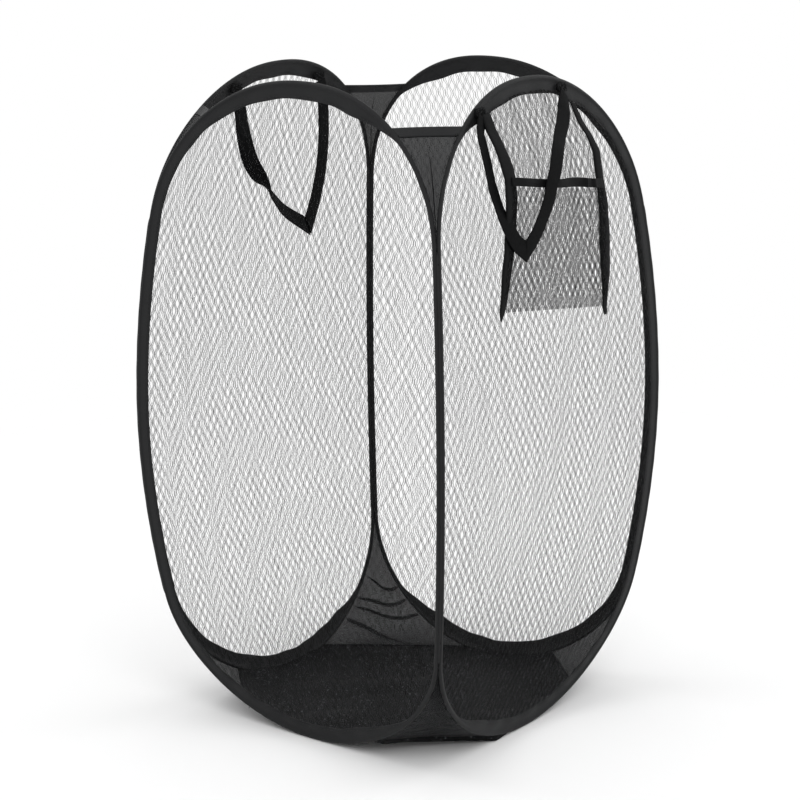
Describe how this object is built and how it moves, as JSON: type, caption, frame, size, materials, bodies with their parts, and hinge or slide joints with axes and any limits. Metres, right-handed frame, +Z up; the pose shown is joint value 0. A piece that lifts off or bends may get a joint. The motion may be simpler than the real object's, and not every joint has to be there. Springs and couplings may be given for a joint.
{
  "type": "pop-up laundry hamper",
  "caption": "Black pop-up laundry hamper: net sides on sprung wire hoops, cloth corner gussets and base, a hanging net pocket and webbing carry handles",
  "frame": {"origin": "middle of the flat underside of the base", "axes": "+Z up the hamper's height, -Y out of the side with the pocket, +X to its right seen from outside"},
  "size_m": [0.357, 0.3724, 0.61],
  "materials": {
    "hoop_wire": "drawn spring wire",
    "casing_tape": "folded woven polyester tape",
    "side_net": "open knitted polyester net",
    "gusset_cloth": "thin crinkled nylon",
    "base_cloth": "thin crinkled nylon",
    "pocket_net": "open knitted polyester net, heavier yarn",
    "binding_tape": "folded polyester binding",
    "webbing": "plain woven webbing"
  },
  "bodies": {
    "front_side": {"front_hoop_wire": "hoop_wire", "front_hoop_ferrule": "hoop_wire", "front_casing": "casing_tape", "front_net": "side_net", "pocket_back_net": "pocket_net", "pocket_front_net": "pocket_net", "pocket_rim_band": "binding_tape", "pocket_left_binding": "binding_tape", "pocket_right_binding": "binding_tape", "front_handle_left_tab": "webbing", "front_handle_right_tab": "webbing", "base": "base_cloth", "front_left_top_gusset": "gusset_cloth", "front_left_top_hem": "casing_tape", "front_left_bottom_gusset": "gusset_cloth", "front_left_seam_tape": "casing_tape", "front_right_top_gusset": "gusset_cloth", "front_right_top_hem": "casing_tape", "front_right_bottom_gusset": "gusset_cloth", "front_right_seam_tape": "casing_tape"},
    "left_side": {"left_hoop_wire": "hoop_wire", "left_hoop_ferrule": "hoop_wire", "left_casing": "casing_tape", "left_net": "side_net"},
    "right_side": {"right_hoop_wire": "hoop_wire", "right_hoop_ferrule": "hoop_wire", "right_casing": "casing_tape", "right_net": "side_net"},
    "back_side": {"back_hoop_wire": "hoop_wire", "back_hoop_ferrule": "hoop_wire", "back_casing": "casing_tape", "back_net": "side_net", "back_handle_left_tab": "webbing", "back_handle_right_tab": "webbing", "back_left_top_gusset": "gusset_cloth", "back_left_top_hem": "casing_tape", "back_left_bottom_gusset": "gusset_cloth", "back_left_seam_tape": "casing_tape", "back_right_top_gusset": "gusset_cloth", "back_right_top_hem": "casing_tape", "back_right_bottom_gusset": "gusset_cloth", "back_right_seam_tape": "casing_tape"},
    "front_handle_loop": {"front_handle": "webbing"},
    "back_handle_loop": {"back_handle": "webbing"}
  },
  "joints": [
    {"name": "left_fold", "type": "hinge", "parent": "front_side", "child": "left_side", "pos_m": [-0.159, -0.159, 0.297], "axis": [0, 0, -1], "range_deg": [0, 40], "stiffness_Nm_per_rad": 0.2, "deforming": ["front_left_top_gusset", "front_left_top_hem", "front_left_bottom_gusset", "front_left_seam_tape", "base"]},
    {"name": "right_fold", "type": "hinge", "parent": "front_side", "child": "right_side", "pos_m": [0.17355, -0.17355, 0.297], "axis": [0, 0, -1], "range_deg": [0, 40], "deforming": ["front_right_top_gusset", "front_right_top_hem", "front_right_bottom_gusset", "front_right_seam_tape"]},
    {"name": "back_fold", "type": "hinge", "parent": "left_side", "child": "back_side", "pos_m": [-0.17355, 0.17355, 0.297], "axis": [0, 0, 1], "range_deg": [0, 40], "deforming": ["back_left_top_gusset", "back_left_top_hem", "back_left_bottom_gusset", "back_left_seam_tape", "back_right_top_gusset", "back_right_top_hem", "back_right_bottom_gusset", "back_right_seam_tape"]},
    {"name": "front_handle_swing", "type": "hinge", "parent": "front_side", "child": "front_handle_loop", "pos_m": [-0.013, -0.15114, 0.5891], "axis": [-0.9964, -0.0163, -0.083], "range_deg": [0, 150]},
    {"name": "back_handle_swing", "type": "hinge", "parent": "back_side", "child": "back_handle_loop", "pos_m": [-0.0055, 0.14103, 0.5856], "axis": [-0.9997, 0.005, -0.0256], "range_deg": [0, 150]}
  ],
  "couplings": [
    {"joint": "right_fold", "follows": "left_fold", "ratio": 1},
    {"joint": "back_fold", "follows": "left_fold", "ratio": 1}
  ]
}
